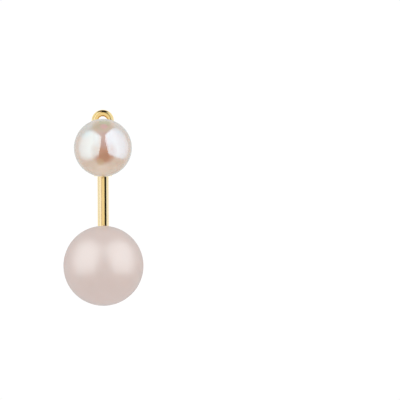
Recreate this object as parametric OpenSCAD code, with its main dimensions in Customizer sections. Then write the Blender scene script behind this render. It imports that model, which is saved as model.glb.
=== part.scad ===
// Pearl stud earring with an ear jacket: a pearl on a post, a strip of rings that hangs on the
// post behind the lobe, and a wire from the strip that carries a larger bead below the pearl.
// Millimetres. The origin is on the post's axis, in the middle of the gap for the ear lobe.
// +Z is up, the pearl looks towards -Y, and the post points towards +Y.

/* [Pearl] */
// Diameter of the pearl
pearl_d = 6.0; // [5.5:0.1:7]

/* [Stud] */
// Diameter of the post
post_d = 0.75; // [0.7:0.01:0.8]
// Length of the post behind the back of its cup
post_len = 10.1; // [9.5:0.1:11]
// Diameter of the rim of the cup behind the pearl
stud_cup_d = 2.95; // [2.4:0.05:3.4]
// Diameter of the collar where the post leaves the cup
collar_d = 0.95; // [0.9:0.01:1.1]
// Distance from the post's tip to the middle of its groove
groove_from_tip = 0.8; // [0.6:0.05:1]

/* [Jacket] */
// Number of rings in the strip
ring_count = 3; // [2:1:4]
// Outer diameter of a ring
ring_d = 2.38; // [2.2:0.02:2.5]
// Diameter of the hole in a ring
ring_hole_d = 0.98; // [0.9:0.01:1.1]
// Distance from ring centre to ring centre
ring_pitch = 1.515; // [1.5:0.005:1.7]
// Thickness of the strip
strip_t = 0.84; // [0.8:0.02:1]
// Width of the soft-cornered wire, seen from the front
wire_w = 1.18; // [0.9:0.01:1.2]
// Thickness of the wire, seen from the side
wire_t = 0.8; // [0.7:0.01:0.8]
// Radius of the bend, to the middle of the wire
bend_r = 1.8; // [1.4:0.1:2.2]

/* [Bead] */
// Diameter of the bead
bead_d = 8.26; // [8:0.02:9]
// Height of the post's axis above the bead's centre
bead_drop = 12.19; // [11.5:0.01:13]
// Distance from the middle of the strip forward to the bead's centre
bead_reach = 9.4; // [9:0.1:10.5]
// Diameter of the rim of the cup behind the bead
bead_cup_d = 3.95; // [3.4:0.05:4.4]
// How far the back of that cup stands behind the bead
bead_cup_back = 0.7; // [0.5:0.05:0.9]

/* [Clutch] */
// Diameter of the scalloped plate
plate_d = 4.9; // [4.6:0.1:5.2]
// Number of scallops round the plate
scallops = 18; // [14:1:22]
// Thickness of the sheet
sheet_t = 0.28; // [0.24:0.01:0.32]
// Height over both loops
clutch_h = 5.8; // [5.6:0.1:6.2]
// Depth from the plate's face to the back of the loops
clutch_depth = 3.2; // [3:0.1:3.5]
// Width of the band that makes a loop
band_w = 1.9; // [1.6:0.1:2.2]

/* [Fit] */
// Gap for the ear lobe, from the cup's back to the strip
lobe_gap = 4.6; // [4.4:0.1:5.5]
// Play between the post and the top of the ring that hangs on it
hang_play = 0.03; // [0.02:0.01:0.05]
// Play between the post and the clutch
slide_play = 0.04; // [0.03:0.01:0.06]
// Gap between the jacket's wire and the clutch
clutch_gap = 0.1; // [0.06:0.02:0.2]
// Gap between a ball and its cup and peg, filled with glue on the real one
seat_gap = 0.03; // [0.02:0.01:0.05]

/* [Hidden] */
fine = 96;
eps = 0.01;

// The pegs that the balls are glued to, and how deep they go in
peg_d = 0.7;
pearl_peg_len = 2.0;
bead_peg_len = 2.8;
// Thickness of both cups: at the rim, and behind the pearl
rim_t = 0.2;
stud_cup_wall = 0.25;
collar_len = 0.25;
// The post's tip
tip_bevel = 0.15;
groove_w = 0.36;
groove_depth = 0.07;
// The bevel round each ring's hole, and round its outer edge
hole_bevel = 0.13;
ring_bevel = 0.26;
// Radius of the wire's long corners
wire_corner_r = 0.22;
// The funnel that the plate is pressed into round the post
funnel_d = 1.7;
funnel_len = 0.5;
funnel_wall = 0.2;
// The stretch of each loop that is cut away, and the radius of one scallop
loop_open_to = 225;
scallop_r = 0.42;
scallop_depth = 0.12;

// Places along the post
cup_back_y = -lobe_gap / 2;
pearl_y = cup_back_y - stud_cup_wall - pearl_d / 2;
strip_y = (lobe_gap + strip_t) / 2;
plate_y = strip_y + strip_t / 2 + clutch_gap;

// Places of the jacket: the lowest ring hangs on the post
ring_z = -(ring_hole_d - post_d) / 2 + hang_play;
wire_top_z = ring_z - (ring_d + ring_hole_d) / 4;
bead_y = strip_y - bead_reach;
bead_z = -bead_drop;

// Turns an upright piece so that its top points backwards, along +Y
module backwards() {
    rotate([-90, 0, 0]) children();
}

// A ball round the origin, drilled from +Z for its peg
module drilled_ball(ball_d, peg_len) {
    difference() {
        sphere(d = ball_d, $fn = fine);
        translate([0, 0, ball_d / 2 - peg_len - seat_gap])
            cylinder(d = peg_d + 2 * seat_gap, h = peg_len + 1, $fn = fine);
    }
}

// A domed cup with its peg, on the +Z side of a ball round the origin.
// The dome is part of a sphere through the rim's outer edge and the neck's edge.
module cup(ball_d, rim_d, back, neck_d, peg_len) {
    seat_r = ball_d / 2 + seat_gap;
    rim_low = sqrt(pow(seat_r, 2) - pow(rim_d / 2, 2));
    rim_high = rim_low + rim_t;
    dome_z = (pow(back, 2) + pow(neck_d / 2, 2) - pow(rim_high, 2) - pow(rim_d / 2, 2))
        / (2 * (back - rim_high));
    dome_r = sqrt(pow(back - dome_z, 2) + pow(neck_d / 2, 2));
    difference() {
        intersection() {
            translate([0, 0, dome_z]) sphere(r = dome_r, $fn = fine);
            cylinder(d = rim_d, h = back, $fn = fine);
        }
        sphere(r = seat_r, $fn = fine);
    }
    translate([0, 0, ball_d / 2 - peg_len])
        cylinder(d = peg_d, h = back - ball_d / 2 + peg_len - eps, $fn = fine);
}

module pearl() {
    color("mistyrose")
    translate([0, pearl_y, 0])
    backwards() drilled_ball(pearl_d, pearl_peg_len);
}

// The post's outline, from its root in the cup to the bevelled tip
module post_rod() {
    groove_z = post_len - groove_from_tip;
    post_r = post_d / 2;
    rotate_extrude($fn = fine)
        polygon([
            [0, -stud_cup_wall / 2],
            [collar_d / 2, -stud_cup_wall / 2],
            [collar_d / 2, collar_len],
            [post_r, collar_len + collar_d / 2 - post_r],
            [post_r, groove_z - groove_w / 2],
            [post_r - groove_depth, groove_z],
            [post_r, groove_z + groove_w / 2],
            [post_r, post_len - tip_bevel],
            [post_r - tip_bevel, post_len],
            [0, post_len],
        ]);
}

module stud_post() {
    color("gold") {
        translate([0, pearl_y, 0])
        backwards() cup(pearl_d, stud_cup_d, cup_back_y - pearl_y, collar_d, pearl_peg_len);
        translate([0, cup_back_y, 0])
        backwards() post_rod();
    }
}

// One ring of the strip before its hole is cut, round the Z axis, with a broad bevel
module ring_blank() {
    ring_r = ring_d / 2;
    half_t = strip_t / 2;
    rotate_extrude($fn = fine)
        polygon([
            [0, -half_t],
            [ring_r - ring_bevel, -half_t],
            [ring_r, -half_t + ring_bevel],
            [ring_r, half_t - ring_bevel],
            [ring_r - ring_bevel, half_t],
            [0, half_t],
        ]);
}

// What is cut from a ring: its hole, with a bevel at each end
module ring_hole() {
    hole_r = ring_hole_d / 2;
    mouth_r = hole_r + hole_bevel + eps;
    half_t = strip_t / 2;
    rotate_extrude($fn = fine)
        polygon([
            [0, -half_t - eps],
            [mouth_r, -half_t - eps],
            [hole_r, -half_t + hole_bevel],
            [hole_r, half_t - hole_bevel],
            [mouth_r, half_t + eps],
            [0, half_t + eps],
        ]);
}

// The strip: the blanks run into each other, and then all the holes are cut
module ring_strip() {
    difference() {
        for (i = [0 : ring_count - 1])
            translate([0, strip_y, ring_z + i * ring_pitch]) backwards() ring_blank();
        for (i = [0 : ring_count - 1])
            translate([0, strip_y, ring_z + i * ring_pitch]) backwards() ring_hole();
    }
}

// The wire's outline: its thickness along X, its width along Y
module wire_section() {
    across = [wire_t / 2 - wire_corner_r, wire_w / 2 - wire_corner_r];
    square([wire_t, 2 * across[1]], center = true);
    square([2 * across[0], wire_w], center = true);
    for (x = [-1, 1], y = [-1, 1])
        translate([x * across[0], y * across[1]]) circle(r = wire_corner_r, $fn = fine);
}

// The wire: down behind the lobe, round the bend, and forward to the bead's cup
module wire() {
    bend_top_z = bead_z + bend_r;
    bend_end_y = strip_y - bend_r;
    stub_end_y = bead_y + bead_d / 2 + bead_cup_back - rim_t;
    translate([0, strip_y, bend_top_z])
        rotate([0, 0, 90])
        linear_extrude(height = wire_top_z - bend_top_z) wire_section();
    translate([0, bend_end_y, bend_top_z])
        rotate([90, 0, 90])
        rotate([0, 0, -90])
        rotate_extrude(angle = 90, $fn = fine)
            translate([bend_r, 0]) wire_section();
    translate([0, bend_end_y, bead_z])
        rotate([90, 90, 0])
        linear_extrude(height = bend_end_y - stub_end_y) wire_section();
}

module ear_jacket() {
    color("gold") {
        ring_strip();
        wire();
        translate([0, bead_y, bead_z])
        backwards()
            cup(bead_d, bead_cup_d, bead_d / 2 + bead_cup_back, wire_w, bead_peg_len);
    }
}

module drop_bead() {
    color("rosybrown")
    translate([0, bead_y, bead_z])
    backwards() drilled_ball(bead_d, bead_peg_len);
}

// The scalloped plate with its funnel, its face at Z = 0 and the funnel pointing to +Z
module plate() {
    bore_r = post_d / 2 + slide_play;
    scallop_at = plate_d / 2 - scallop_r;
    difference() {
        union() {
            cylinder(r = plate_d / 2 - scallop_depth, h = sheet_t, $fn = fine);
            for (i = [0 : scallops - 1])
                rotate([0, 0, i * 360 / scallops])
                translate([scallop_at, 0, 0]) cylinder(r = scallop_r, h = sheet_t, $fn = fine);
            cylinder(r1 = funnel_d / 2 + funnel_wall, r2 = bore_r + funnel_wall,
                h = sheet_t + funnel_len, $fn = fine);
        }
        translate([0, 0, -1]) cylinder(r = bore_r, h = 3, $fn = fine);
        translate([0, 0, -eps])
            cylinder(r1 = funnel_d / 2, r2 = bore_r, h = funnel_len, $fn = fine);
    }
}

// The side view of one loop and its strap: X runs backwards from the plate's middle, Y is up
module loop_outline() {
    low_z = post_d / 2 + slide_play + sheet_t / 2;
    high_z = (clutch_h - sheet_t) / 2;
    loop_r = (high_z - low_z) / 2;
    loop_c = [clutch_depth - sheet_t - loop_r, (high_z + low_z) / 2];
    strap_start = [0, plate_d / 2 - scallop_depth - sheet_t / 2];
    to_loop = loop_c - strap_start;
    reach = norm(to_loop);
    strap_len = sqrt(pow(reach, 2) - pow(loop_r, 2));
    strap_angle = atan2(to_loop[1], to_loop[0]) + asin(loop_r / reach);
    cut_angles = [strap_angle + 90, (strap_angle + 90 + loop_open_to) / 2, loop_open_to];
    translate(loop_c)
    difference() {
        circle(r = loop_r + sheet_t / 2, $fn = fine);
        circle(r = loop_r - sheet_t / 2, $fn = fine);
        polygon(concat([[0, 0]], [for (a = cut_angles) 3 * loop_r * [cos(a), sin(a)]]));
    }
    translate(strap_start)
    rotate(strap_angle)
    translate([-sheet_t / 4, -sheet_t / 2])
        square([strap_len + sheet_t / 4 + eps, sheet_t]);
}

module butterfly_clutch() {
    color("gold")
    translate([0, plate_y, 0]) {
        backwards() plate();
        for (side = [0, 1])
            mirror([0, 0, side])
            translate([-band_w / 2, sheet_t / 2, 0])
            rotate([90, 0, 90])
            linear_extrude(height = band_w) loop_outline();
    }
}

pearl();
stud_post();
ear_jacket();
drop_bead();
butterfly_clutch();
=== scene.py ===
# %% [markdown]
# # A pearl stud earring with an ear jacket
#
# This lesson finishes the looks of one earring, shown hanging as it is worn. A pearl sits in a
# cup on a straight post. A strip of three rings hangs on the post behind the lobe, and a wire
# from the strip comes forward under the lobe and carries a larger milky bead. A sprung clutch
# slides on the post. The metal, the pearl and the bead were first made to size as a plain CAD
# model. Here every piece is made again, finer, in exactly the same place.

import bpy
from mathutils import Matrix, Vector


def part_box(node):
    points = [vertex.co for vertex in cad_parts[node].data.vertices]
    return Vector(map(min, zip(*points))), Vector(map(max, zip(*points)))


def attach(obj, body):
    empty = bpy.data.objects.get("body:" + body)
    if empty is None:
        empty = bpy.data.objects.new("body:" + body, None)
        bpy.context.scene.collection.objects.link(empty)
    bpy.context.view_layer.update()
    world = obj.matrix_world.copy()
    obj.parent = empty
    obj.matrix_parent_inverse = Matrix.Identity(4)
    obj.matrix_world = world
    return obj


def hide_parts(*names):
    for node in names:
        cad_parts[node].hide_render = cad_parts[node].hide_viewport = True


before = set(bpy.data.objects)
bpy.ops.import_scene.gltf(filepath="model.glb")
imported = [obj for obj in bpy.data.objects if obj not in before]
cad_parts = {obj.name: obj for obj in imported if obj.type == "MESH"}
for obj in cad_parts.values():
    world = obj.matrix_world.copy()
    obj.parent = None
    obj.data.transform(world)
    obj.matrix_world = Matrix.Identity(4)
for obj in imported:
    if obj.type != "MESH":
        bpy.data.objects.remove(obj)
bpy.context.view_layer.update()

# %% [markdown]
# ## Sizes
#
# Blender counts in metres, and this earring is only 20 mm high. Bevels and cuts work best on
# sizes near 1, so each piece is modelled in millimetres and shrunk at the very end. The places
# of the pieces are read from the CAD boxes, so nothing has to be fitted by eye.

# %% Places from the CAD model
import math

import bmesh
import bpy
from mathutils import Matrix, Vector

MM = 0.001
scene = bpy.context.scene


def box_mm(node):
    """A CAD node's lowest and highest corners, in millimetres."""
    low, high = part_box(node)
    return Vector(low) / MM, Vector(high) / MM


def ball_of(node):
    """Centre and radius of a round node, read from its front, its width and its height."""
    low, high = box_mm(node)
    radius = (high.x - low.x) / 2
    return Vector((0, low.y + radius, (low.z + high.z) / 2)), radius


pearl_centre, pearl_r = ball_of("pearl")
bead_centre, bead_r = ball_of("drop_bead")
strip_back_y = box_mm("ear_jacket")[1].y
strip_top_z = box_mm("ear_jacket")[1].z
post_tip_y = box_mm("stud_post")[1].y
plate_face_y = box_mm("butterfly_clutch")[0].y
print("pearl", pearl_centre, pearl_r, "bead", bead_centre, bead_r)

# %% [markdown]
# ## Camera
#
# The picture is taken square on from the front, at the height of a point between the two balls,
# with a long lens. A long lens from 40 cm away keeps the balls round and the wire straight. The
# camera turns a little to the right, which puts the earring in the left part of the picture,
# and it leans by about a quarter of a degree, as much as the earring in the picture leans.

# %% The camera
CAMERA_AWAY = 400
CAMERA_Z = -5.453
LENS = 347.8
TURN_RIGHT = 1.436
LEAN = 0.28

camera_data = bpy.data.cameras.new("Camera")
camera_data.sensor_width = 36
camera_data.lens = LENS
camera_data.clip_start, camera_data.clip_end = 0.01, 5
camera = bpy.data.objects.new("Camera", camera_data)
camera.location = Vector((0, pearl_centre.y - CAMERA_AWAY, CAMERA_Z)) * MM
turn_right = Matrix.Rotation(math.radians(-TURN_RIGHT), 3, "Z")
level = Matrix.Rotation(math.radians(90), 3, "X")
lean = Matrix.Rotation(math.radians(-LEAN), 3, "Z")
camera.rotation_euler = (turn_right @ level @ lean).to_euler()
scene.collection.objects.link(camera)
scene.camera = camera
scene.view_settings.view_transform = "Standard"
print("camera at", tuple(round(v, 4) for v in camera.location))

# %% [markdown]
# ## White surroundings
#
# The earring is shown on clean white. The world gives each kind of ray its own answer. The
# camera sees white. Soft light from all round, a little stronger from above, gives the balls
# their body colour. Mirror-like surfaces see grey behind the earring, which keeps the rims of
# the balls from melting into the background, and near black in front of it, so that the studio
# lights make all the highlights.

# %% Node helpers and the world


def ramp(node, stops):
    """Fills a colour ramp from (place, value or colour) pairs."""
    elements = node.color_ramp.elements
    while len(elements) > 1:
        elements.remove(elements[-1])
    for i, (place, value) in enumerate(stops):
        colour = (value,) * 3 if isinstance(value, (int, float)) else value
        element = elements[0] if i == 0 else elements.new(place)
        element.position = place
        element.color = (*colour, 1)


def add(tree, kind, **settings):
    """Adds a shader node and sets its properties."""
    node = tree.nodes.new("ShaderNode" + kind)
    for name, value in settings.items():
        setattr(node, name, value)
    return node


world = bpy.data.worlds.new("Studio")
scene.world = world
world.use_nodes = True
tree = world.node_tree
tree.nodes.clear()
path = add(tree, "LightPath")
way = add(tree, "TexCoord")
split = add(tree, "SeparateXYZ")
front_to_back = add(tree, "MapRange")
front_to_back.inputs["From Min"].default_value = -1
mirrored_grey = add(tree, "ValToRGB")
ramp(mirrored_grey, [(0.0, 0.02), (0.55, 0.03), (0.75, 0.42), (1.0, 0.5)])
low_to_high = add(tree, "MapRange")
low_to_high.inputs["From Min"].default_value = -1
soft_white = add(tree, "ValToRGB")
ramp(soft_white, [(0.0, 0.92), (0.5, 1.0), (1.0, 1.16)])
mirrored = add(tree, "Background")
soft = add(tree, "Background")
seen = add(tree, "Background")
seen.inputs["Color"].default_value = (1, 1, 1, 1)
seen.inputs["Strength"].default_value = 1.02
pick_mirrored = add(tree, "MixShader")
pick_seen = add(tree, "MixShader")
out = add(tree, "OutputWorld")
for a, b in [
    (way.outputs["Generated"], split.inputs[0]),
    (split.outputs["Y"], front_to_back.inputs["Value"]),
    (front_to_back.outputs["Result"], mirrored_grey.inputs["Fac"]),
    (mirrored_grey.outputs["Color"], mirrored.inputs["Color"]),
    (split.outputs["Z"], low_to_high.inputs["Value"]),
    (low_to_high.outputs["Result"], soft_white.inputs["Fac"]),
    (soft_white.outputs["Color"], soft.inputs["Color"]),
    (path.outputs["Is Glossy Ray"], pick_mirrored.inputs["Fac"]),
    (soft.outputs[0], pick_mirrored.inputs[1]),
    (mirrored.outputs[0], pick_mirrored.inputs[2]),
    (path.outputs["Is Camera Ray"], pick_seen.inputs["Fac"]),
    (pick_mirrored.outputs[0], pick_seen.inputs[1]),
    (seen.outputs[0], pick_seen.inputs[2]),
    (pick_seen.outputs[0], out.inputs["Surface"]),
]:
    tree.links.new(a, b)
print("world nodes:", len(tree.nodes))

# %% [markdown]
# ## Floor
#
# A pale disc lies well below the earring. It throws soft light back up, as a white table does,
# and from above it is the background. It isn't mirrored, so that the undersides of the polished
# pieces show their own panels and not one big white table.

# %% The floor
FLOOR_R = 600
FLOOR_Z = -60

bm = bmesh.new()
bmesh.ops.create_circle(bm, cap_ends=True, segments=96, radius=FLOOR_R * MM)
bmesh.ops.translate(bm, vec=(0, 0, FLOOR_Z * MM), verts=bm.verts)
floor_mesh = bpy.data.meshes.new("Floor")
bm.to_mesh(floor_mesh)
bm.free()
floor = bpy.data.objects.new("Floor", floor_mesh)
scene.collection.objects.link(floor)
floor.visible_glossy = False
floor_paint = bpy.data.materials.new("White table")
floor_paint.use_nodes = True
paint = floor_paint.node_tree.nodes["Principled BSDF"]
paint.inputs["Base Color"].default_value = (0.93, 0.93, 0.93, 1)
paint.inputs["Roughness"].default_value = 0.9
paint.inputs["Emission Color"].default_value = (1, 1, 1, 1)
paint.inputs["Emission Strength"].default_value = 0.06
floor_mesh.materials.append(floor_paint)
print("floor radius", FLOOR_R, "mm, at", FLOOR_Z, "mm")

# %% [markdown]
# ## Tools for turned pieces
#
# Most of the earring is round about a line: balls, cups, peg, post and rings. A turner cuts such
# a piece from a profile, and Blender can too. The profile is drawn as a chain of points and arcs
# on one side of the line. A vertex bevel rounds its corners, as polishing does, and one full
# spin makes the solid. This is quicker and cleaner than carving a cylinder.

# %% Profile and spin helpers


def point(bm, radius, y):
    """Starts a profile at a radius from the Y axis."""
    return bm.verts.new((radius, y, 0))


def line(bm, start, *stops):
    """Carries the profile on through (radius, y) stops, and returns all its new points."""
    made = []
    for radius, y in stops:
        corner = bm.verts.new((radius, y, 0))
        bm.edges.new((start, corner))
        made.append(corner)
        start = corner
    return made


def arc(bm, start, centre, degrees, steps, axis=(0, 0, 1)):
    """Carries the profile on along an arc round a centre, and returns its last point."""
    swung = bmesh.ops.spin(bm, geom=[start], cent=centre, axis=axis, dvec=(0, 0, 0),
                           angle=math.radians(degrees), steps=steps, use_merge=False)
    return swung["geom_last"][0]


def soften(bm, corners, size, segments=5):
    """Rounds corners of a profile."""
    bmesh.ops.bevel(bm, geom=corners, offset=size, offset_type="OFFSET", segments=segments,
                    profile=0.5, affect="VERTICES", material=-1, clamp_overlap=True)


def turn(bm, steps=96, centre=(0, 0, 0)):
    """Spins the profile round the Y axis into a closed solid, and moves it to its place."""
    bmesh.ops.spin(bm, geom=bm.verts[:] + bm.edges[:], cent=(0, 0, 0), axis=(0, 1, 0),
                   dvec=(0, 0, 0), angle=math.tau, steps=steps, use_merge=True)
    bmesh.ops.remove_doubles(bm, verts=bm.verts, dist=0.0002)
    bmesh.ops.recalc_face_normals(bm, faces=bm.faces)
    bmesh.ops.translate(bm, vec=centre, verts=bm.verts)
    return bm


def degrees_off_axis(radius, reach):
    """The angle between the Y axis and a point at a radius and a reach."""
    return math.degrees(math.atan2(radius, reach))


# %% [markdown]
# ## Joining and finishing
#
# Soldered metal is one piece, so the solids of the jacket and of the clutch are joined with an
# exact boolean, which leaves no hidden walls inside. The last helper shrinks the piece to
# metres, shades it smooth but keeps true creases sharp, gives it its metal or nacre, and lets it
# ride on its moving body in place of the CAD node.

# %% Join and finish helpers


def rough_object(bm, name):
    """A passing object in millimetres, for the booleans."""
    mesh = bpy.data.meshes.new(name)
    bm.to_mesh(mesh)
    bm.free()
    thing = bpy.data.objects.new(name, mesh)
    scene.collection.objects.link(thing)
    return thing


def join(first, others, operation="UNION"):
    """Joins or cuts closed solids, and returns the result as a bmesh."""
    base = rough_object(first, "joining")
    tools = [rough_object(other, "tool") for other in others]
    for tool in tools:
        step = base.modifiers.new("join", "BOOLEAN")
        step.operation = operation
        step.solver = "EXACT"
        step.object = tool
    result = bmesh.new()
    graph = bpy.context.evaluated_depsgraph_get()
    result.from_object(base, graph)
    for thing in [base, *tools]:
        mesh = thing.data
        bpy.data.objects.remove(thing)
        bpy.data.meshes.remove(mesh)
    bmesh.ops.remove_doubles(result, verts=result.verts, dist=0.0005)
    return result


def finish_piece(bm, name, node, body, material, crease=38):
    """Turns a millimetre bmesh into the finished piece that stands for a CAD node."""
    bmesh.ops.recalc_face_normals(bm, faces=bm.faces)
    open_edges = sum(1 for e in bm.edges if len(e.link_faces) != 2)
    volume = bm.calc_volume(signed=True)
    triangles = sum(len(f.verts) - 2 for f in bm.faces)
    bmesh.ops.scale(bm, vec=(MM, MM, MM), verts=bm.verts)
    mesh = bpy.data.meshes.new(name)
    bm.to_mesh(mesh)
    bm.free()
    mesh.shade_smooth()
    mesh.set_sharp_from_angle(angle=math.radians(crease))
    mesh.materials.append(material)
    piece = bpy.data.objects.new(name, mesh)
    scene.collection.objects.link(piece)
    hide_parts(node)
    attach(piece, body)
    print(f"{name}: {triangles} triangles, {volume:.2f} mm3, {open_edges} open edges")
    return piece


# %% [markdown]
# ## Effects that materials share
#
# Polished metal is never a perfect mirror: the buffing wheel leaves hair-fine marks and a faint
# unevenness. The balls aren't one flat colour either: nacre and milky stone both carry soft
# clouds. Each effect is one node group, used in several materials with other values.

# %% Shared node groups


def new_group(name, inputs, outputs):
    """Starts a shader node group with named float, colour or vector sockets."""
    group = bpy.data.node_groups.new(name, "ShaderNodeTree")
    for label, kind, value in inputs:
        socket = group.interface.new_socket(label, in_out="INPUT", socket_type="NodeSocket" + kind)
        if value is not None:
            socket.default_value = value
    for label, kind in outputs:
        group.interface.new_socket(label, in_out="OUTPUT", socket_type="NodeSocket" + kind)
    return group, add(group, "TexCoord"), group.nodes.new("NodeGroupInput"), group.nodes.new(
        "NodeGroupOutput")


polish, coords, given, result = new_group(
    "Buffing marks",
    [("Mark Scale", "Float", 9000.0), ("Wave Scale", "Float", 700.0),
     ("Smoothest", "Float", 0.05), ("Roughest", "Float", 0.14)],
    [("Roughness", "Float"), ("Height", "Float")],
)
MARK_STRETCH = 0.18
MARK_DEPTH = 0.12

stretch = add(polish, "Mapping")
stretch.inputs["Scale"].default_value = (1.0, 1.0, MARK_STRETCH)
marks = add(polish, "TexNoise")
marks.inputs["Detail"].default_value = 3
waves = add(polish, "TexNoise")
waves.inputs["Detail"].default_value = 1
to_range = add(polish, "MapRange")
to_range.inputs["From Min"].default_value = 0.3
to_range.inputs["From Max"].default_value = 0.7
shallow = add(polish, "Math", operation="MULTIPLY")
shallow.inputs[1].default_value = MARK_DEPTH
relief_sum = add(polish, "Math", operation="ADD")
for a, b in [
    (coords.outputs["Object"], stretch.inputs["Vector"]),
    (stretch.outputs[0], marks.inputs["Vector"]),
    (coords.outputs["Object"], waves.inputs["Vector"]),
    (given.outputs["Mark Scale"], marks.inputs["Scale"]),
    (given.outputs["Wave Scale"], waves.inputs["Scale"]),
    (marks.outputs["Fac"], to_range.inputs["Value"]),
    (given.outputs["Smoothest"], to_range.inputs["To Min"]),
    (given.outputs["Roughest"], to_range.inputs["To Max"]),
    (to_range.outputs["Result"], result.inputs["Roughness"]),
    (marks.outputs["Fac"], shallow.inputs[0]),
    (shallow.outputs[0], relief_sum.inputs[0]),
    (waves.outputs["Fac"], relief_sum.inputs[1]),
    (relief_sum.outputs[0], result.inputs["Height"]),
]:
    polish.links.new(a, b)

clouds, coords, given, result = new_group(
    "Soft clouds",
    [("Cloud Scale", "Float", 250.0), ("Colour A", "Color", (1, 1, 1, 1)),
     ("Colour B", "Color", (1, 1, 1, 1)), ("Colour C", "Color", (1, 1, 1, 1))],
    [("Colour", "Color"), ("Height", "Float")],
)
WIDE_CLOUD_SCALE = 0.55

small = add(clouds, "TexNoise")
small.inputs["Detail"].default_value = 2
wide = add(clouds, "TexNoise")
wide.inputs["Detail"].default_value = 1
wider = add(clouds, "Math", operation="MULTIPLY")
wider.inputs[1].default_value = WIDE_CLOUD_SCALE
small_edge = add(clouds, "MapRange")
small_edge.inputs["From Min"].default_value = 0.35
small_edge.inputs["From Max"].default_value = 0.65
wide_edge = add(clouds, "MapRange")
wide_edge.inputs["From Min"].default_value = 0.45
wide_edge.inputs["From Max"].default_value = 0.75
mix_ab = add(clouds, "Mix", data_type="RGBA")
mix_c = add(clouds, "Mix", data_type="RGBA")
for a, b in [
    (coords.outputs["Object"], small.inputs["Vector"]),
    (coords.outputs["Object"], wide.inputs["Vector"]),
    (given.outputs["Cloud Scale"], small.inputs["Scale"]),
    (given.outputs["Cloud Scale"], wider.inputs[0]),
    (wider.outputs[0], wide.inputs["Scale"]),
    (small.outputs["Fac"], small_edge.inputs["Value"]),
    (wide.outputs["Fac"], wide_edge.inputs["Value"]),
    (small_edge.outputs["Result"], mix_ab.inputs["Factor"]),
    (given.outputs["Colour A"], mix_ab.inputs["A"]),
    (given.outputs["Colour B"], mix_ab.inputs["B"]),
    (wide_edge.outputs["Result"], mix_c.inputs["Factor"]),
    (mix_ab.outputs["Result"], mix_c.inputs["A"]),
    (given.outputs["Colour C"], mix_c.inputs["B"]),
    (mix_c.outputs["Result"], result.inputs["Colour"]),
    (small.outputs["Fac"], result.inputs["Height"]),
]:
    clouds.links.new(a, b)

spot, coords, given, result = new_group(
    "Colour spot",
    [("Colour", "Color", (1, 1, 1, 1)), ("Spot Colour", "Color", (1, 1, 1, 1)),
     ("Ball Centre", "Vector", (0, 0, 0)), ("Towards", "Vector", (0, -1, 0)),
     ("Clear Beyond", "Float", 0.6), ("Full Within", "Float", 0.9), ("Strength", "Float", 1.0)],
    [("Colour", "Color")],
)
from_centre = add(spot, "VectorMath", operation="SUBTRACT")
outward = add(spot, "VectorMath", operation="NORMALIZE")
aimed = add(spot, "VectorMath", operation="NORMALIZE")
lined_up = add(spot, "VectorMath", operation="DOT_PRODUCT")
soft_edge = add(spot, "MapRange", interpolation_type="SMOOTHSTEP")
dose = add(spot, "Math", operation="MULTIPLY")
blend = add(spot, "Mix", data_type="RGBA")
for a, b in [
    (coords.outputs["Object"], from_centre.inputs[0]),
    (given.outputs["Ball Centre"], from_centre.inputs[1]),
    (from_centre.outputs[0], outward.inputs[0]),
    (given.outputs["Towards"], aimed.inputs[0]),
    (outward.outputs[0], lined_up.inputs[0]),
    (aimed.outputs[0], lined_up.inputs[1]),
    (lined_up.outputs["Value"], soft_edge.inputs["Value"]),
    (given.outputs["Clear Beyond"], soft_edge.inputs["From Min"]),
    (given.outputs["Full Within"], soft_edge.inputs["From Max"]),
    (soft_edge.outputs["Result"], dose.inputs[0]),
    (given.outputs["Strength"], dose.inputs[1]),
    (dose.outputs[0], blend.inputs["Factor"]),
    (given.outputs["Colour"], blend.inputs["A"]),
    (given.outputs["Spot Colour"], blend.inputs["B"]),
    (blend.outputs["Result"], result.inputs["Colour"]),
]:
    spot.links.new(a, b)
print("groups:", [g.name for g in bpy.data.node_groups])

# %% [markdown]
# ## Gold
#
# The metal is polished yellow gold. A metal's look is almost all reflection, so the colour
# stands in Base Color, Metallic is 1, and the buffing marks move the roughness a little. The
# same material recipe takes other values on the post, the jacket and the sheet of the clutch.

# %% Gold


def place_group(material, group, **values):
    """Puts a shared group into a material with its own values."""
    node = add(material.node_tree, "Group")
    node.node_tree = group
    for label, value in values.items():
        node.inputs[label.replace("_", " ")].default_value = value
    return node


def start_material(name):
    """Starts a material, and returns it with its nodes and its shader."""
    material = bpy.data.materials.new(name)
    material.use_nodes = True
    return material, material.node_tree, material.node_tree.nodes["Principled BSDF"]


RELIEF = 0.02 * MM


def gold(name, smooth, rough, marks, bump):
    """Polished gold, from its smoothest and roughest polish and the scale of its marks."""
    material, tree, shader = start_material(name)
    shader.inputs["Metallic"].default_value = 1
    buffed = place_group(material, polish, Mark_Scale=marks, Smoothest=smooth, Roughest=rough)
    tone = place_group(material, clouds, Cloud_Scale=420.0, Colour_A=(0.95, 0.72, 0.34, 1),
                       Colour_B=(0.93, 0.69, 0.31, 1), Colour_C=(0.96, 0.74, 0.37, 1))
    relief = add(tree, "Bump")
    relief.inputs["Strength"].default_value = bump
    relief.inputs["Distance"].default_value = RELIEF
    tree.links.new(tone.outputs["Colour"], shader.inputs["Base Color"])
    tree.links.new(buffed.outputs["Roughness"], shader.inputs["Roughness"])
    tree.links.new(buffed.outputs["Height"], relief.inputs["Height"])
    tree.links.new(relief.outputs["Normal"], shader.inputs["Normal"])
    return material


jacket_gold = gold("Jacket gold", 0.04, 0.10, 9000.0, 0.25)
post_gold = gold("Post gold", 0.04, 0.10, 12000.0, 0.2)
clutch_gold = gold("Clutch gold", 0.06, 0.16, 7000.0, 0.35)
print("golds:", [metal.name for metal in (jacket_gold, post_gold, clutch_gold)])

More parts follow.
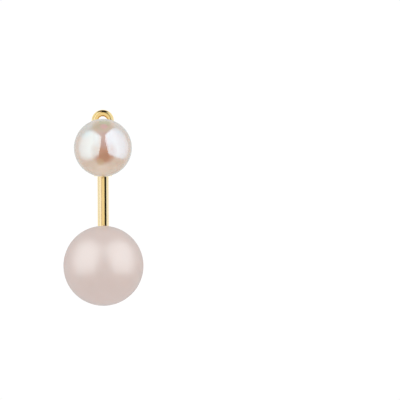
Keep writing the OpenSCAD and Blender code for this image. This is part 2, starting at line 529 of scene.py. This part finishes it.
# %% [markdown]
# ## Pearl
#
# A pearl is built up in thin layers of nacre. Light goes in a little way, so the body glows, and
# the layers give a satin mirror on top. They also split the light, so a pearl is never one
# colour: this one has green and pink overtones, grey tints on its upper sides, a pale top and a
# warmer tone low down. Its rose band down the middle of the front and the gold crown above it are
# painted reflection: they are darker where the dark gap between the studio panels shows in the
# nacre. A shader could work such colours out, but soft round spots are easier to place, and they
# stay in the exported model. The piece is a ball, drilled from behind for its peg.

# %% The pearl
PEG_HOLE = 0.38
PEARL_BORE = 2.03


def drilled_ball(radius, hole, depth, centre, steps=128):
    """A ball with a blind bore in its back, whose lip is softened."""
    bm = bmesh.new()
    lip_y = math.sqrt(radius**2 - hole**2)
    lip = point(bm, hole, lip_y)
    arc(bm, lip, (0, 0, 0), degrees_off_axis(hole, lip_y) - 180, 80)
    line(bm, lip, (hole, radius - depth), (0, radius - depth))
    soften(bm, [lip], 0.04, 3)
    return turn(bm, steps, centre)


def add_spots(material, colour, centre, spots):
    """Lays soft spots of other colours over a ball, one after another."""
    for towards, degrees, edge, tone, strength in spots:
        place = place_group(material, spot, Ball_Centre=centre * MM, Towards=towards,
                            Clear_Beyond=math.cos(math.radians(degrees + edge)),
                            Full_Within=math.cos(math.radians(max(degrees - edge, 0))),
                            Spot_Colour=(*tone, 1), Strength=strength)
        material.node_tree.links.new(colour, place.inputs["Colour"])
        colour = place.outputs["Colour"]
    return colour


nacre, tree, shader = start_material("Nacre")
tint = place_group(nacre, clouds, Cloud_Scale=260.0, Colour_A=(0.67, 0.54, 0.46, 1),
                   Colour_B=(0.66, 0.53, 0.44, 1), Colour_C=(0.68, 0.54, 0.47, 1))
overtones_and_painted_reflection = add_spots(nacre, tint.outputs["Colour"], pearl_centre, [
    ((0.04, -0.35, -1), 40, 30, (0.67, 0.52, 0.40), 0.8),
    ((-0.56, -0.54, 0.62), 14, 11, (0.60, 0.58, 0.54), 0.9),
    ((0.6, -0.5, 0.62), 11, 10, (0.61, 0.57, 0.53), 0.7),
    # Painted reflection: the next four spots darken the middle of the front into a warm rose band,
    # where the dark gap between the studio panels shows in the nacre.
    ((0.03, -1, -0.15), 21.5, 9, (0.54, 0.295, 0.20), 1.0),
    ((0.02, -1, 0.32), 14, 12, (0.59, 0.42, 0.38), 0.8),
    ((0.07, -1, -0.35), 8, 5, (0.48, 0.26, 0.165), 0.8),
    ((-0.08, -0.85, -0.5), 6, 4, (0.57, 0.41, 0.25), 0.6),
    # Painted reflection: the next three spots darken a gold and olive crown above that band, where
    # the dark gap between the panels shows again; the olive is partly the nacre's green overtone.
    # The last two are a pale top and a pink overtone.
    ((0, -0.6, 0.8), 16, 10, (0.56, 0.46, 0.34), 0.8),
    ((-0.2, -0.62, 0.75), 8, 6, (0.53, 0.44, 0.32), 0.5),
    ((0.06, -0.5, 0.86), 9, 6, (0.46, 0.45, 0.28), 0.75),
    ((0.02, -0.2, 0.98), 10, 8, (0.64, 0.58, 0.54), 0.6),
    ((0.04, -0.68, 0.73), 5, 5, (0.68, 0.43, 0.43), 0.8),
])
shader.inputs["Roughness"].default_value = 0.1
shader.inputs["IOR"].default_value = 1.6
shader.inputs["Subsurface Weight"].default_value = 0.25
shader.inputs["Subsurface Radius"].default_value = (1.0, 0.6, 0.4)
shader.inputs["Subsurface Scale"].default_value = 0.4 * MM
shader.inputs["Coat Weight"].default_value = 0.6
shader.inputs["Coat Roughness"].default_value = 0.03
relief = add(tree, "Bump")
relief.inputs["Strength"].default_value = 0.15
relief.inputs["Distance"].default_value = RELIEF
tree.links.new(overtones_and_painted_reflection, shader.inputs["Base Color"])
tree.links.new(tint.outputs["Height"], relief.inputs["Height"])
tree.links.new(relief.outputs["Normal"], shader.inputs["Normal"])

pearl = finish_piece(drilled_ball(pearl_r, PEG_HOLE, PEARL_BORE, pearl_centre),
                     "pearl_nacre_ball", "pearl", "stud", nacre)

# %% [markdown]
# ## Post and cup
#
# The pearl's post is one turned and soldered piece: a peg that is glued into the pearl, a domed
# cup that fits its back, a small collar, and a straight post with a groove near its rounded tip.

# %% The post
PEG_R = 0.35
SEAT = 0.03
CUP_RIM = 0.2
CUP_R = 1.475
PEARL_CUP_BACK = 3.25  # from the pearl's centre
PEARL_PEG = 2.0
POST_R = 0.375
COLLAR_R = 0.475
COLLAR_LEN = 0.25
GROOVE_R = 0.305
GROOVE_FROM_TIP = 0.8
GROOVE_HALF_W = 0.18


def cup_profile(bm, ball_r, rim_r, back, neck_r, peg_len):
    """Draws a peg and a domed cup behind a ball round the origin, and returns the neck point."""
    seat_r = ball_r + SEAT
    rim_low = math.sqrt(seat_r**2 - rim_r**2)
    rim_high = rim_low + CUP_RIM
    dome_y = ((back**2 + neck_r**2 - rim_high**2 - rim_r**2) / (2 * (back - rim_high)))
    peg_start = point(bm, 0, ball_r - peg_len)
    peg_edge, root = line(bm, peg_start, (PEG_R, ball_r - peg_len),
                          (PEG_R, math.sqrt(seat_r**2 - PEG_R**2)))
    swing = degrees_off_axis(PEG_R, root.co.y) - degrees_off_axis(rim_r, rim_low)
    inner = arc(bm, root, (0, 0, 0), swing, 20)
    outer, = line(bm, inner, (rim_r, rim_high))
    swing = (degrees_off_axis(rim_r, rim_high - dome_y) - degrees_off_axis(neck_r, back - dome_y))
    neck = arc(bm, outer, (0, dome_y, 0), swing, 20)
    soften(bm, [peg_edge], 0.1, 3)
    soften(bm, [inner, outer], 0.08, 4)
    return neck


bm = bmesh.new()
collar_end = PEARL_CUP_BACK + COLLAR_LEN
tip = post_tip_y - pearl_centre.y
groove = tip - GROOVE_FROM_TIP
neck = cup_profile(bm, pearl_r, CUP_R, PEARL_CUP_BACK, COLLAR_R, PEARL_PEG)
chain = line(bm, neck, (COLLAR_R, collar_end), (POST_R, collar_end + COLLAR_R - POST_R),
             (POST_R, groove - GROOVE_HALF_W), (GROOVE_R, groove),
             (POST_R, groove + GROOVE_HALF_W), (POST_R, tip), (0, tip))
soften(bm, [neck], 0.08, 3)
soften(bm, chain[:2], 0.05, 3)
soften(bm, chain[2:5], 0.06, 3)
soften(bm, [chain[5]], 0.17, 5)
stud_post = finish_piece(turn(bm, 80, pearl_centre), "stud_post_turned", "stud_post", "stud",
                         post_gold)

# %% [markdown]
# ## Ear jacket
#
# The jacket is one soldered piece. Three small rings in a row let the wearer choose how low the
# bead hangs. A soft-cornered wire runs down from them, bends forward, and ends in a deep cup
# with a peg. The rings are turned discs that run into each other, and their holes are cut
# afterwards, so that no metal of a neighbour stands in a hole. The wire is one outline that is
# drawn out step by step and spun round the bend.

# %% The rings
RING_R, RING_HOLE, PITCH, STRIP_T = 1.19, 0.49, 1.515, 0.84
CROWN_IN = 0.26
SHOULDER_IN, SHOULDER_DOWN = 0.06, 0.14
RIM_DOWN = 0.32
COUNTERSINK_W, COUNTERSINK_D = 0.18, 0.13
PAST_FACE = 0.05
strip_y = strip_back_y - STRIP_T / 2
ring_places = [strip_top_z - RING_R - i * PITCH for i in range(3)]


def ring_disc(z):
    """A turned disc with a low crown and a broad, polished rim."""
    bm = bmesh.new()
    half = STRIP_T / 2
    crown, shoulder = RING_R - CROWN_IN, RING_R - SHOULDER_IN
    front = point(bm, 0, -half)
    chain = line(bm, front, (crown, -half), (shoulder, -half + SHOULDER_DOWN),
                 (RING_R, -half + RIM_DOWN), (RING_R, half - RIM_DOWN),
                 (shoulder, half - SHOULDER_DOWN), (crown, half), (0, half))
    soften(bm, chain[:-1], 0.1, 4)
    return turn(bm, 96, (0, strip_y, z))


def ring_hole(z):
    """What is drilled and countersunk out of a disc."""
    bm = bmesh.new()
    half = STRIP_T / 2
    outside = half + PAST_FACE
    start = point(bm, 0, -outside)
    wide = RING_HOLE + COUNTERSINK_W
    chain = line(bm, start, (wide, -outside), (RING_HOLE, -half + COUNTERSINK_D),
                 (RING_HOLE, half - COUNTERSINK_D), (wide, outside), (0, outside))
    soften(bm, chain[1:3], 0.05, 3)
    return turn(bm, 96, (0, strip_y, z))


print("ring centres:", [round(z, 3) for z in ring_places])

# %% The wire
BEND_R, WIRE_W, WIRE_T = 1.8, 1.18, 0.8
SQUARENESS = 2.8
WIRE_STEPS, BEND_STEPS, STUB_STEPS = 12, 24, 6
STUB_TAPER = 0.99
BEHIND_BEAD = 0.7  # from the bead's back to the cup's
bend_y = strip_y - BEND_R
bend_z = bead_centre.z + BEND_R
stub_end = bead_centre.y + bead_r + BEHIND_BEAD - CUP_RIM
print("the bend's centre:", (round(bend_y, 3), round(bend_z, 3)), "end:", round(stub_end, 3))


def open_end(grown):
    """The new points and the new end edges of what was just extruded."""
    verts = [g for g in grown if isinstance(g, bmesh.types.BMVert)]
    edges = [g for g in grown if isinstance(g, bmesh.types.BMEdge)
             and all(v in verts for v in g.verts)]
    return verts, edges


def draw_out(bm, edges, move, squeeze=1.0):
    """Draws the open end of the wire further, and narrows it a little."""
    verts, end = open_end(bmesh.ops.extrude_edge_only(bm, edges=edges)["geom"])
    bmesh.ops.translate(bm, vec=move, verts=verts)
    bmesh.ops.scale(bm, vec=(squeeze, 1, 1), verts=verts)
    return end


def wire():
    """The wire, from inside the lowest ring down, round the bend and into the bead's cup."""
    bm = bmesh.new()
    bmesh.ops.create_circle(bm, segments=64, radius=1)
    for v in bm.verts:  # a circle drawn through a soft-cornered die
        angle = math.atan2(v.co.y, v.co.x)
        c, s = math.cos(angle), math.sin(angle)
        v.co.x = math.copysign(abs(c) ** (2 / SQUARENESS), c) * WIRE_W / 2
        v.co.y = math.copysign(abs(s) ** (2 / SQUARENESS), s) * WIRE_T / 2
    top_z = ring_places[-1] - (RING_R + RING_HOLE) / 2
    bmesh.ops.translate(bm, vec=(0, strip_y, top_z), verts=bm.verts)
    end = bm.edges[:]
    bmesh.ops.edgeloop_fill(bm, edges=end)
    step = (bend_z - top_z) / WIRE_STEPS
    for _ in range(WIRE_STEPS):
        end = draw_out(bm, end, (0, 0, step))
    swung = bmesh.ops.spin(bm, geom=end + list({v for e in end for v in e.verts}),
                           cent=(0, bend_y, bend_z), axis=(1, 0, 0), dvec=(0, 0, 0),
                           angle=math.radians(-90), steps=BEND_STEPS, use_merge=False)
    end = [g for g in swung["geom_last"] if isinstance(g, bmesh.types.BMEdge)]
    for _ in range(STUB_STEPS):
        end = draw_out(bm, end, (0, (stub_end - bend_y) / STUB_STEPS, 0), STUB_TAPER)
    bmesh.ops.edgeloop_fill(bm, edges=end)
    bmesh.ops.recalc_face_normals(bm, faces=bm.faces)
    return bm


# %% The bead's cup, and the jacket as one piece
BEAD_CUP_R = 1.975
BEAD_PEG = 2.8

bm = bmesh.new()
neck = cup_profile(bm, bead_r, BEAD_CUP_R, bead_r + BEHIND_BEAD, WIRE_W / 2, BEAD_PEG)
line(bm, neck, (0, bead_r + BEHIND_BEAD))
bead_cup = turn(bm, 96, bead_centre)
strip = join(ring_disc(ring_places[0]), [ring_disc(z) for z in ring_places[1:]])
strip = join(strip, [ring_hole(z) for z in ring_places], "DIFFERENCE")
jacket_metal = join(strip, [wire(), bead_cup])
ear_jacket = finish_piece(jacket_metal, "ear_jacket_soldered", "ear_jacket", "jacket",
                          jacket_gold)

# %% [markdown]
# ## Bead
#
# The drop is a milky, dusty rose stone. It is clouded all through, so light spreads inside it
# and shadows stay soft, and its polish is a quiet one, with blurred highlights.

# %% The bead
BEAD_BORE = 2.83

stone, tree, shader = start_material("Milky stone")
tint = place_group(stone, clouds, Cloud_Scale=170.0, Colour_A=(0.656, 0.543, 0.502, 1),
                   Colour_B=(0.635, 0.523, 0.487, 1), Colour_C=(0.676, 0.564, 0.533, 1))
shader.inputs["Roughness"].default_value = 0.42
shader.inputs["IOR"].default_value = 1.54
shader.inputs["Subsurface Weight"].default_value = 0.5
shader.inputs["Subsurface Radius"].default_value = (1.0, 0.7, 0.6)
shader.inputs["Subsurface Scale"].default_value = 1.2 * MM
shader.inputs["Coat Weight"].default_value = 0.5
shader.inputs["Coat Roughness"].default_value = 0.25
relief = add(tree, "Bump")
relief.inputs["Strength"].default_value = 0.08
relief.inputs["Distance"].default_value = RELIEF
tree.links.new(tint.outputs["Colour"], shader.inputs["Base Color"])
tree.links.new(tint.outputs["Height"], relief.inputs["Height"])
tree.links.new(relief.outputs["Normal"], shader.inputs["Normal"])

bead = finish_piece(drilled_ball(bead_r, PEG_HOLE, BEAD_BORE, bead_centre, 160),
                    "drop_bead_stone", "drop_bead", "jacket", stone)

# %% [markdown]
# ## Clutch
#
# The clutch is stamped from one sheet: a round plate with a scalloped rim, a funnel pressed in
# its middle to find the post, and two bands that curl up, back and down until their free ends
# grip the post. The skin of the plate is drawn ring by ring, in at the front, through the
# funnel, and out again at the back. A band is a line and an arc, widened into a ribbon that gets
# the sheet's thickness last.

# %% The plate
SHEET = 0.28
SCALLOPS = 18
SCALLOP_H = 0.12
SCALLOP_POINTS = 12
SCALLOP_ROUND = 0.7


def plate():
    """The plate's whole skin, ring by ring: (radius, depth, 1 where the rim is scalloped)."""
    bm = bmesh.new()
    bmesh.ops.create_circle(bm, segments=SCALLOPS * SCALLOP_POINTS, radius=1)
    verts, end = bm.verts[:], bm.edges[:]
    first = end
    front_rim = [(2.33, 0.06, 1), (2.315, 0.02, 1), (2.27, 0.0, 1)]
    front = [(2.0, 0.0, 0), (1.15, 0.0, 0)]
    funnel = [(0.95, 0.03, 0), (0.82, 0.09, 0), (0.7, 0.19, 0), (0.58, 0.31, 0), (0.49, 0.42, 0),
              (0.44, 0.52, 0), (0.425, 0.62, 0), (0.425, 0.73, 0)]
    lip = [(0.44, 0.765, 0), (0.475, 0.78, 0), (0.57, 0.78, 0), (0.605, 0.765, 0)]
    funnel_back = [(0.62, 0.73, 0), (0.66, 0.63, 0), (0.72, 0.53, 0), (0.79, 0.43, 0),
                   (0.87, 0.35, 0), (0.98, 0.295, 0)]
    back = [(1.15, SHEET, 0), (2.0, SHEET, 0)]
    back_rim = [(2.27, SHEET, 1), (2.315, SHEET - 0.02, 1), (2.33, SHEET - 0.06, 1)]
    skin = front_rim + front + funnel + lip + funnel_back + back + back_rim
    for i, (radius, depth, waved) in enumerate(skin):
        if i:
            verts, end = open_end(bmesh.ops.extrude_edge_only(bm, edges=end)["geom"])
        for v in verts:
            way = Vector((v.co.x, v.co.y, 0)).normalized()
            turned = SCALLOPS / 2 * math.atan2(way.y, way.x)
            wave = SCALLOP_H * abs(math.cos(turned)) ** SCALLOP_ROUND
            v.co = way * (radius + waved * wave)
            v.co.z = depth
    bmesh.ops.bridge_loops(bm, edges=first + end)
    bmesh.ops.rotate(bm, matrix=Matrix.Rotation(math.radians(-90), 3, "X"), verts=bm.verts)
    bmesh.ops.translate(bm, vec=(0, plate_face_y, 0), verts=bm.verts)
    bmesh.ops.recalc_face_normals(bm, faces=bm.faces)
    return bm


print("the plate's face stands", round(plate_face_y, 3), "mm behind the middle of the lobe")

# %% The bands, and the clutch as one piece
BAND_W = 1.9
BAND_LEAN = 110.1
BAND_TURN = 245
BAND_ROOT_Z = 2.19
LOOP_BACK, LOOP_Z, LOOP_MID_R = 1.8175, 1.6575, 1.1025
LOOP_STEPS, RIBBON_STEPS = 40, 6
SHARP_EDGE = 1.1  # radians
EDGE_SOFT = 0.06
mid_y = plate_face_y + SHEET / 2
loop_at = (0, mid_y + LOOP_BACK, LOOP_Z)
loop_r = LOOP_MID_R + SHEET / 2


def band(side):
    """One band: its outer face first, then its thickness, which grows inwards."""
    bm = bmesh.new()
    up_y, up_z = math.cos(math.radians(BAND_LEAN)), math.sin(math.radians(BAND_LEAN))
    start = bm.verts.new((-BAND_W / 2, mid_y + up_y * SHEET / 2,
                          BAND_ROOT_Z + up_z * SHEET / 2))
    touch = bm.verts.new((-BAND_W / 2, loop_at[1] + loop_r * up_y, loop_at[2] + loop_r * up_z))
    bm.edges.new((start, touch))
    arc(bm, touch, loop_at, -BAND_TURN, LOOP_STEPS, axis=(1, 0, 0))
    end = bm.edges[:]
    for _ in range(RIBBON_STEPS):
        verts, end = open_end(bmesh.ops.extrude_edge_only(bm, edges=end)["geom"])
        bmesh.ops.translate(bm, vec=(BAND_W / RIBBON_STEPS, 0, 0), verts=verts)
    bmesh.ops.recalc_face_normals(bm, faces=bm.faces)
    if max(bm.faces, key=lambda f: f.calc_center_median().y).normal.y < 0:
        bmesh.ops.reverse_faces(bm, faces=bm.faces)
    bmesh.ops.solidify(bm, geom=bm.faces[:], thickness=SHEET)
    bmesh.ops.recalc_face_normals(bm, faces=bm.faces)
    sharp = [e for e in bm.edges if len(e.link_faces) == 2 and e.calc_face_angle() > SHARP_EDGE]
    bmesh.ops.bevel(bm, geom=sharp, offset=EDGE_SOFT, offset_type="OFFSET", segments=3,
                    profile=0.5, affect="EDGES", material=-1, clamp_overlap=True)
    if side < 0:
        bmesh.ops.scale(bm, vec=(1, 1, -1), verts=bm.verts)
        bmesh.ops.reverse_faces(bm, faces=bm.faces)
    bmesh.ops.recalc_face_normals(bm, faces=bm.faces)
    low = min(v.co.z * side for v in bm.verts)
    high = max(v.co.z * side for v in bm.verts)
    print(f"band from {low:.3f} to {high:.3f} mm off the post's axis")
    return bm


clutch_metal = join(plate(), [band(1), band(-1)])
butterfly_clutch = finish_piece(clutch_metal, "clutch_sheet", "butterfly_clutch", "clutch",
                                clutch_gold)

# %% [markdown]
# ## Studio lights
#
# Polished things show their lights, so each light is a large soft panel, placed for what it
# looks like in the piece. A photographer sets panels, black flags and coloured gels by hand for
# each part of such a picture. Light linking does that here: each panel lights only its own
# pieces, and only their gloss. A panel stands square to the direction in which it is seen from
# the piece: azimuth 0 is towards the camera and 90 is to the right. Its edges are given as
# multiples of its distance, and its brightness is for each bit of its area, so a panel can be
# made bigger and stay as bright.

# %% A soft panel


def lit_group(name, pieces):
    """The pieces that a panel lights."""
    group = bpy.data.collections.new(name)
    for piece in pieces:
        group.objects.link(piece)
    return group


def panel(name, lit, aim, facing, across, up, brightness, tint=(1, 1, 1),
          fade=(0.03, 0.03, 0.03, 0.03), cuts=(), gels=(), distance=200):
    """A flat panel that stands square to a direction, seen from aim, in millimetres.

    Across and up give its edges as multiples of the distance. Fade gives how wide its left,
    right, low and high edges fade, in the same measure. Each cut is a slanting black flag:
    (across, up, dark below, bright above). Each gel multiplies the tint past such a line.
    """
    turn_a, turn_e = (math.radians(v) for v in facing)
    away = Vector((math.sin(turn_a) * math.cos(turn_e), -math.cos(turn_a) * math.cos(turn_e),
                   math.sin(turn_e)))
    right = Vector((math.cos(turn_a), math.sin(turn_a), 0))
    upward = away.cross(right)
    wide, high = across[1] - across[0], up[1] - up[0]
    data = bpy.data.lights.new(name, "AREA")
    data.shape = "RECTANGLE"
    data.size, data.size_y = wide * distance * MM, high * distance * MM
    data.energy = brightness * math.pi * data.size * data.size_y
    data.color = tint
    data.use_nodes = True
    nodes = data.node_tree
    where = add(nodes, "NewGeometry")
    glow = nodes.nodes["Emission"]

    def flag(by_x, by_y, dark, bright):
        """A soft step across the panel: 0 on its dark side, 1 on its bright side."""
        start = by_x * across[0] + by_y * up[0]
        along = add(nodes, "VectorMath", operation="DOT_PRODUCT")
        along.inputs[1].default_value = (by_x * wide, by_y * high, 0)
        edge = add(nodes, "MapRange", interpolation_type="SMOOTHSTEP")
        edge.inputs["From Min"].default_value = dark - start
        edge.inputs["From Max"].default_value = bright - start
        nodes.links.new(where.outputs["Parametric"], along.inputs[0])
        nodes.links.new(along.outputs["Value"], edge.inputs["Value"])
        return edge.outputs["Result"]

    light_left = flag(1, 0, across[0], across[0] + fade[0])
    for cut in [(-1, 0, -across[1], fade[1] - across[1]), (0, 1, up[0], up[0] + fade[2]),
                (0, -1, -up[1], fade[3] - up[1]), *cuts]:
        both = add(nodes, "Math", operation="MULTIPLY")
        nodes.links.new(light_left, both.inputs[0])
        nodes.links.new(flag(*cut), both.inputs[1])
        light_left = both.outputs[0]
    nodes.links.new(light_left, glow.inputs["Strength"])
    glow.inputs["Color"].default_value = (1, 1, 1, 1)
    colour = None
    for edge, gel in gels:
        past = add(nodes, "Mix", data_type="RGBA", clamp_factor=True)
        past.inputs["A"].default_value = (1, 1, 1, 1)
        past.inputs["B"].default_value = (*gel, 1)
        nodes.links.new(flag(*edge), past.inputs["Factor"])
        if colour:
            nodes.links.new(colour, past.inputs["A"])
        colour = past.outputs["Result"]
        nodes.links.new(colour, glow.inputs["Color"])
    light = bpy.data.objects.new(name, data)
    middle = away + right * sum(across) / 2 + upward * sum(up) / 2
    light.location = (Vector(aim) + middle * distance) * MM
    light.rotation_mode = "QUATERNION"
    light.rotation_quaternion = Matrix((right, upward, away)).transposed().to_quaternion()
    light.visible_camera = False
    light.visible_diffuse = False
    light.light_linking.receiver_collection = lit
    scene.collection.objects.link(light)


# %% Panels for the pearl, the bead and the gold
for_pearl = lit_group("Lit by the pearl panels", [pearl])
for_bead = lit_group("Lit by the bead panels", [bead])
for_gold = lit_group("Lit by the gold panels", [ear_jacket, stud_post, butterfly_clutch])

left_slant = (-1, 0.383, -1.3, -1.26)
right_slant = (1, 0.4, -1.37, -1.33)
panel("Pearl left", for_pearl, pearl_centre, (-62.5, 0), (-1.7, 1.42), (-1.2, 2.15), 4.9,
      (0.55, 0.9, 1.05), fade=(1.8, 0.03, 0.85, 1.0), cuts=[left_slant],
      gels=[((1, 0, -0.3, 0.9), (1.33, 1.38, 1.3)), ((1, 0, 0.8, 1.3), (1.32, 1.1, 0.95))])
panel("Pearl right", for_pearl, pearl_centre, (70.5, 0), (-1.75, 1.7), (-0.82, 2.4), 5.0,
      (0.57, 0.9, 1.2), fade=(0.03, 2.1, 0.35, 0.5), cuts=[right_slant],
      gels=[((-1, 0, -0.3, 1.0), (1.33, 1.36, 1.22)), ((-1, 0, 1.0, 1.5), (1.4, 1.08, 0.95))])
panel("Pearl back", for_pearl, pearl_centre, (180, 0), (-2.5, 2.5), (-1, 3), 0.22,
      (0.6, 1.0, 1.1), fade=(0.5,) * 4)
panel("Pearl below", for_pearl, pearl_centre, (0, -90), (-0.95, 0.95), (-0.6, 0.74), 0.38,
      (0.6, 0.95, 1.0), fade=(0.3, 0.3, 0.3, 0.05), distance=7)
panel("Bead left", for_bead, bead_centre, (-57.5, 25), (-1.5, 0.98), (-1.15, 1.25), 3.5,
      (0.88, 1.0, 1.03), fade=(1.5, 0.2, 0.3, 0.8), cuts=[(-1, -0.3, -1.2, -0.75)])
panel("Bead right", for_bead, bead_centre, (57.5, 25), (-0.87, 1.5), (-1.15, 1.25), 3.5,
      (0.88, 1.0, 1.03), fade=(0.2, 1.4, 0.3, 0.8), cuts=[(1, -0.3, -1.1, -0.65)])


def edges_of(first, last):
    """Facing direction and half width of a panel that fills a stretch of azimuths."""
    half = math.tan(math.radians((last - first) / 2))
    return ((first + last) / 2, 0), (-half, half)


GOLD_LOW, GOLD_TOP = -1.1, 1.7
gold_aim = (0, 2.7, -5)
for name, first, last, low, top, brightness, tint in [
    ("Gold far left", -120, -68, GOLD_LOW, GOLD_TOP, 0.95, (0.94, 1.02, 1.3)),
    ("Gold left", -68, -42, GOLD_LOW, GOLD_TOP, 0.9, (0.9, 1.0, 1.25)),
    ("Gold near left", -42, -20, GOLD_LOW, GOLD_TOP, 1.2, (1.0, 1.1, 1.4)),
    ("Gold half left", -20, -8, GOLD_LOW, GOLD_TOP, 1.0, (1.05, 0.98, 1.2)),
    ("Gold front", -8, 7, GOLD_LOW, 0.62, 0.85, (1.05, 1.0, 0.86)),
    ("Gold upper right", 7, 36, 0.12, 0.7, 0.5, (1, 1, 0.9)),
    ("Gold half right", 35, 62, GOLD_LOW, GOLD_TOP, 1.0, (0.95, 1.08, 1.5)),
    ("Gold right", 62, 120, GOLD_LOW, GOLD_TOP, 0.95, (0.94, 1.02, 1.3)),
    ("Gold back right", 124, 171, GOLD_LOW, GOLD_TOP, 0.6, (1, 1, 1)),
    ("Gold back", 171, 189, GOLD_LOW, 1.2, 0.75, (1, 1, 1)),
    ("Gold back left", 189, 236, GOLD_LOW, GOLD_TOP, 0.6, (1, 1, 1)),
]:
    facing, across = edges_of(first, last)
    panel(name, for_gold, gold_aim, facing, across, (low, top), brightness, tint,
          fade=(0.03, 0.03, 0.7 if low < 0 else 0.03, 0.03),
          gels=[((0, 1, 0.05, 0.5), (0.98, 0.94, 0.72))])
panel("Gold below", for_gold, gold_aim, (0, -90), (-1.2, 1.2), (-1.2, 1.2), 0.35,
      (1, 1, 1), fade=(0.6,) * 4)
print("panels:", len(bpy.data.lights))
